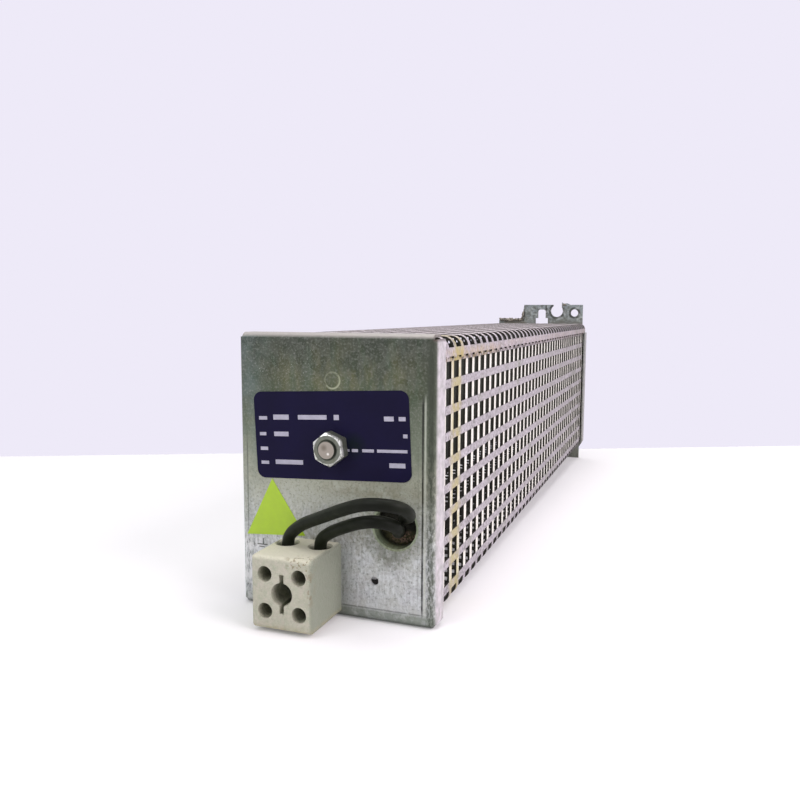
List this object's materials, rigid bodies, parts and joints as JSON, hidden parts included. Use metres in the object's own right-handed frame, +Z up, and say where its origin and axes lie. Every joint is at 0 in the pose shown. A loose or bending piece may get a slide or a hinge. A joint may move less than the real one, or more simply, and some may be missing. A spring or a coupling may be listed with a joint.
{
  "type": "tubular resistor",
  "caption": "Tubular wirewound resistor in a perforated, folded steel housing, with a ceramic terminal block and two leads on its front plate",
  "frame": {"origin": "middle of the underside: centre of the bounding box in X and Y, at the lowest point, the end of the rear plate's lower tab", "axes": "+Y runs along the rod from the terminal block to the rear plate, +X to the right seen from the block, +Z up"},
  "size_m": [0.0726, 0.4, 0.1215],
  "materials": {
    "galvanised": "galvanised sheet steel with faint spangle and yellow-green staining",
    "zinc_screw": "zinc-plated steel, dulled",
    "steatite": "cream steatite, matt",
    "cement": "grey-green cement coat, matt",
    "resistance_alloy": "oxidised resistance alloy",
    "tinned_copper": "tinned copper",
    "brass": "dull brass",
    "bush_plastic": "greenish-white moulded plastic",
    "lead_insulation": "dark grey silicone insulation",
    "label_film": "dark blue label film with plain pale bars",
    "green_film": "plain lime green film"
  },
  "bodies": {
    "root": {"front_end_plate": "galvanised", "rear_end_plate": "galvanised", "lower_cover": "galvanised", "top_cover": "galvanised", "threaded_rod": "zinc_screw", "front_nut": "zinc_screw", "front_inner_nut": "zinc_screw", "rear_clinch_nut": "zinc_screw", "disc_nut_front": "zinc_screw", "disc_nut_rear": "zinc_screw", "disc_washer_front": "zinc_screw", "disc_washer_rear": "zinc_screw", "centring_disc_front": "steatite", "centring_disc_rear": "steatite", "ceramic_tube": "steatite", "resistance_winding": "resistance_alloy", "cement_coat": "cement", "band_front": "zinc_screw", "band_rear": "zinc_screw", "band_screw_front": "zinc_screw", "band_screw_rear": "zinc_screw", "band_nut_front": "zinc_screw", "band_nut_rear": "zinc_screw", "lug_front": "tinned_copper", "lug_rear": "tinned_copper", "cable_bush": "bush_plastic", "terminal_block": "steatite", "terminal_insert_1": "brass", "terminal_insert_2": "brass", "clamp_screws": "zinc_screw", "block_screw": "zinc_screw", "block_nut": "zinc_screw", "lead_a": "lead_insulation", "lead_b": "lead_insulation", "rating_label": "label_film", "triangle_sticker": "green_film"}
  },
  "joints": []
}
